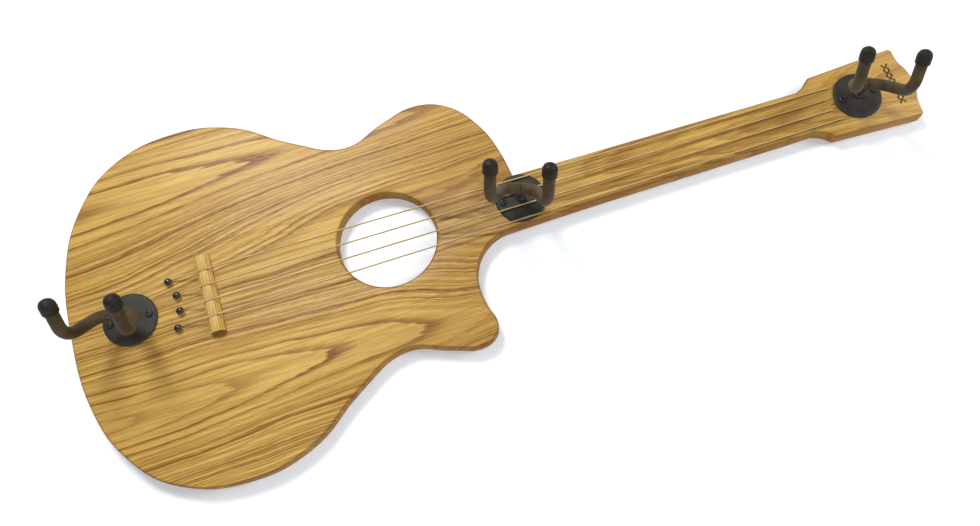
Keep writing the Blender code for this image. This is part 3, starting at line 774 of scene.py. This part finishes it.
def sleeve_mesh(side):
    """Half of the soft tubing, with eased ends, opened where the stem comes in."""
    path, _ = arm_path(side, CAP_LENGTH + GAP)
    path[0] = path[0] + Vector((side * 0.5 * GAP, 0, 0))
    path = resample(path, 1.6 * MM) + [path[-1]]
    ease = (0.55, 0.22, 0.05)
    start = [path[0] + (path[1] - path[0]).normalized() * d * MM for d in (0, 0.15, 0.45)]
    finish = [path[-1] + (path[-2] - path[-1]).normalized() * d * MM for d in (0.45, 0.15, 0)]
    path = start + [point for point in path[1:-2]] + finish
    swell = [SLEEVE_RADIUS - drop * MM for drop in ease]
    outer = swell + [SLEEVE_RADIUS] * (len(path) - 6) + swell[::-1]
    inner = [BAR_RADIUS + GAP] * len(path)
    tube = mesh_of(sweep(path, (outer, inner), 36, closed=True), "sleeve", 60)
    bore = BAR_RADIUS + GAP
    notch = lathe([(0, CROWN.z), (bore, CROWN.z), (bore, 12 * MM), (0, 12 * MM)], 32)
    return cut(tube, [mesh_of(notch, "notch")])


def yoke_mesh():
    """The bent bar, its stem, the collar against the flange and the weld under the crown."""
    bar_end = CAP_LENGTH - CAP_BORE_DEPTH + 2 * GAP
    right, _ = arm_path(1, bar_end)
    left, _ = arm_path(-1, bar_end)
    path = left[::-1] + right[1:]
    shape = sweep(path, ([BAR_RADIUS] * len(path),), 28)
    stem = [(0, 30), (4.0, 30), (4.0, 27.2), (4.9, 25.2), (4.05, 23.2), (4.0, 7.3), (5.2, 6.6),
            (5.2, 3.8), (4.0, 3.8), (4.0, -STEM_TAIL / MM), (0, -STEM_TAIL / MM)]
    part = mesh_of(lathe(rounded(stem, 0.5, 3), 40), "stem")
    shape.from_mesh(part)
    return mesh_of(shape, "yoke", 50)


def cap_mesh(side):
    """A moulded end cap: domed tip with a small gate mark, a barrel side and a rolled lip."""
    corners = [(0, -0.35), (0.9, -0.35), (1.15, 0), (3.4, -0.45), (6.5, -2.6), (7.85, -5.6), (8.1, -9),
               (8.0, -13.2), (8.1, -14.2), (7.7, -15.5), (4.3, -15.5), (4.3, -4.5), (0, -4.5)]
    mesh = mesh_of(lathe(rounded(corners, 0.9, 4), 44), "cap", 50)
    _, arm = arm_path(side, 0)
    turn = arm.to_track_quat("Z", "Y").to_matrix().to_4x4()
    turn.translation = (side * CAP_TIP.x, CAP_TIP.y, CAP_TIP.z)
    mesh.transform(turn)
    return mesh


def flange_mesh():
    """A round flange, very slightly domed, with an eased rim."""
    corners = [(4.3, 0.3), (4.3, 3.5), (12, 3.5), (22, 3.35), (26.6, 3.05), (28.5, 1.9), (28.5, 0.3),
               (4.3, 0.3)]
    return mesh_of(lathe(rounded(corners, 1.1, 5)[:-1], 96), "flange", 40)


def cross_cutters(reach, half_width, low, high):
    """Two crossed boxes for a screw's cross recess."""
    return [box_mesh((-a, -b, low), (a, b, high)) for a, b in ((reach, half_width), (half_width, reach))]


def pan_screw_mesh():
    """A pan-head screw with a cross recess, its head's underside at zero."""
    corners = [(0, 2.4), (2.2, 2.3), (3.5, 1.7), (4.0, 0.7), (3.9, 0), (2.0, 0), (2.0, -12.8), (0, -16)]
    head = mesh_of(lathe(rounded(corners, 0.5, 3), 32), "screw")
    return cut(head, cross_cutters(2.2 * MM, 0.5 * MM, 1.1 * MM, 4 * MM))


def flat_screw_mesh():
    """A countersunk screw with a cross recess, its flat face at zero."""
    corners = [(0, 0), (2.95, 0), (1.6, -1.3), (1.6, -10.4), (0, -13)]
    head = mesh_of(lathe(rounded(corners, 0.2, 2), 28), "screw")
    return cut(head, cross_cutters(1.7 * MM, 0.38 * MM, -0.9 * MM, 2 * MM))


def upright(spot):
    """A fastener's place at a spot, standing square to the board."""
    return Matrix.Translation(spot) @ GUITAR.to_3x3().to_4x4()


def build_hanger(name, looks):
    matrix = swivel_frame(name)
    body = f"{name}_hanger"
    add_piece(f"{name}_flange_coated", flange_mesh(), looks["flange"], "rack", [f"{name}_flange"],
              upright(matrix.translation))
    for end, turn in (("tail_side", 25), ("head_side", 70)):
        node = f"{name}_flange_screw_{end}"
        spot = centre(node)
        spot.y = FRONT - FLANGE_HEIGHT - GAP
        seat = upright(spot) @ Matrix.Rotation(math.radians(turn), 4, "Z")
        add_piece(f"{node}_cross", pan_screw_mesh(), looks["screw"], "rack", [node], seat)
    add_piece(f"{name}_yoke_bar", yoke_mesh(), looks["yoke"], body, [f"{name}_yoke"], matrix)
    for hand, side in (("left", -1), ("right", 1)):
        add_piece(f"{name}_tube_{hand}", sleeve_mesh(side), looks["sleeve"], body,
                  [f"{name}_sleeve_{hand}"], matrix)
        add_piece(f"{name}_end_cap_{hand}", cap_mesh(side), looks["cap"], body,
                  [f"{name}_cap_{hand}"], matrix)
    zinc, _ = looks["zinc"]
    for node in (f"{name}_swivel_washer", f"{name}_lock_nut"):
        for slot in frame["nodes"][node].material_slots:
            slot.material = zinc


# ---------------------------------------------------------------- the object

def make_looks():
    """Each look's material and its slot's name."""
    flange = coated_metal("flange_coating", (0.016, 0.0135, 0.009), (0.029, 0.025, 0.016), 0.5, 1.3)
    yoke = coated_metal("yoke_coating", (0.028, 0.022, 0.024), (0.045, 0.036, 0.038), 0.38, 1.6)
    screw = coated_metal("screw_coating", (0.018, 0.017, 0.017), (0.035, 0.033, 0.032), 0.3, 2.2)
    return {
        "oak": (board_oak(), "oak"), "bridge": (bridge_oak(), "bridge_oak"),
        "sleeve": (sleeve_rubber(), "sleeve_rubber"), "cap": (cap_rubber(), "cap_rubber"),
        "flange": (flange, "flange_coat"), "yoke": (yoke, "yoke_steel"), "screw": (screw, "screw_black"),
        "nail": (nail_gloss(), "nail_black"), "wire": (wire_brass(), "string_brass"),
        "zinc": (zinc_plate(), "zinc_steel"),
    }


def build_strings(looks):
    """The four wires and their nails."""
    for index in range(1, 5):
        add_piece(f"string_{index}_twisted", twisted_wire(string_path(index)), looks["wire"], "rack",
                  [f"string_{index}"], GUITAR)
        nail = f"string_nail_{index}"
        spot = GUITAR.inverted() @ centre(nail)
        add_piece(f"{nail}_domed", nail_mesh(), looks["nail"], "rack", [nail],
                  GUITAR @ Matrix.Translation((spot.x, spot.y, 0)))


def build_keyhole_plates(looks):
    """The two plates on the back and their countersunk screws."""
    for name in ("body", "neck"):
        plate = f"keyhole_plate_{name}"
        add_piece(f"{plate}_eased", bevelled_cad(plate, 0.15 * MM), looks["zinc"], "rack", [plate])
        for end in ("upper", "lower"):
            node = f"keyhole_screw_{name}_{end}"
            spot = centre(node)
            spot.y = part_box(node)[1].y
            facing_wall = Matrix.Translation(spot) @ Matrix.Rotation(-math.pi / 2, 4, "X")
            add_piece(f"{node}_cross", flat_screw_mesh(), looks["zinc"], "rack", [node], facing_wall)


def build_object():
    looks = make_looks()
    board = cut(board_mesh(), board_cutters())
    board.set_sharp_from_angle(angle=math.radians(38))
    add_piece("board_shaped", board, looks["oak"], "rack", ["oak_board"])
    add_piece("bridge_shaped", bevelled_cad("bridge_strip", 0.5 * MM, 3), looks["bridge"], "rack",
              ["bridge_strip"])
    build_strings(looks)
    for name in HANGERS:
        build_hanger(name, looks)
    build_keyhole_plates(looks)


# ---------------------------------------------------------------- studio

def backdrop(name, corners, colour, near=0.0, shadow=(0, 0, 0)):
    """A large flat sheet, unseen from its back, with tinted shadows; rays shorter than near pass it."""
    mesh = bpy.data.meshes.new(name)
    mesh.from_pydata(corners, [], [(0, 1, 2, 3)])
    sheet = bpy.data.objects.new(name, mesh)
    bpy.context.scene.collection.objects.link(sheet)
    graph = Graph(name)
    mottle = graph.noise(graph.place(scale=1.0), 40, detail=2)
    graph.set(Base_Color=graph.mix(mottle * 0.04, colour, (0.8, 0.8, 0.8)), Roughness=0.9,
              Specular_IOR_Level=0.1)
    geometry = graph.node("NewGeometry")
    rays = graph.node("LightPath")
    hidden = Num(graph, geometry.outputs["Backfacing"])
    short = graph.math("LESS_THAN", Num(graph, rays.outputs["Ray Length"]), near)
    seen = Num(graph, rays.outputs["Is Camera Ray"])
    short = short * (1.0 - seen)
    graph.set(Emission_Color=(*shadow, 1), Emission_Strength=seen)
    mixer = graph.node("MixShader")
    graph.feed(mixer.inputs[0], graph.math("MAXIMUM", hidden, short))
    graph.feed(mixer.inputs[1], graph.shader.outputs[0])
    graph.feed(mixer.inputs[2], graph.node("BsdfTransparent").outputs[0])
    graph.feed(graph.nodes["Material Output"].inputs["Surface"], mixer.outputs[0])
    mesh.materials.append(graph.material)


def area_light(name, position, target, size, watts):
    """A square soft light aimed at a target."""
    data = bpy.data.lights.new(name, "AREA")
    data.size = size
    data.energy = watts
    light = bpy.data.objects.new(name, data)
    light.location = position
    light.rotation_euler = (Vector(target) - Vector(position)).to_track_quat("-Z", "Y").to_euler()
    bpy.context.scene.collection.objects.link(light)


def build_studio():
    wall = BACK + WALL_GAP
    half, top, low = ROOM_HALF_WIDTH, WALL_TOP, FLOOR_LEVEL
    backdrop("wall", [(-half, wall, low), (half, wall, low), (half, wall, top), (-half, wall, top)],
             (1, 1, 1), 4 * MM, (0.09, 0.13, 0.18))
    backdrop("floor", [(-half, -half, low), (half, -half, low), (half, half, low), (-half, half, low)],
             (0.9, 0.9, 0.9))
    world = bpy.data.worlds.new("studio")
    world.use_nodes = True
    world.node_tree.nodes["Background"].inputs["Color"].default_value = (1, 1, 1, 1)
    world.node_tree.nodes["Background"].inputs["Strength"].default_value = 0.32
    bpy.context.scene.world = world
    bpy.context.scene.view_settings.view_transform = "Standard"
    area_light("key", position=(-0.74, -1.6, 0.9), target=(-0.2, 0, 0), size=0.62, watts=26.5)
    area_light("fill", position=(2.6, -2.2, 0.5), target=(0, 0, 0), size=1.2, watts=40)
    area_light("rear", position=(0.8, 2.2, 1.2), target=(0, 0, 0), size=1.5, watts=40)


def build_camera():
    data = bpy.data.cameras.new("camera")
    data.sensor_width = 36
    data.lens = 30.516
    data.shift_x = -0.04374
    data.clip_start = 0.01
    camera = bpy.data.objects.new("camera", data)
    camera.location = (0.0009, -0.8779, -0.3499)
    camera.rotation_euler = [math.radians(angle) for angle in (107.7389, -0.3156, -0.9068)]
    bpy.context.scene.collection.objects.link(camera)
    bpy.context.scene.camera = camera


build_object()
build_studio()
build_camera()
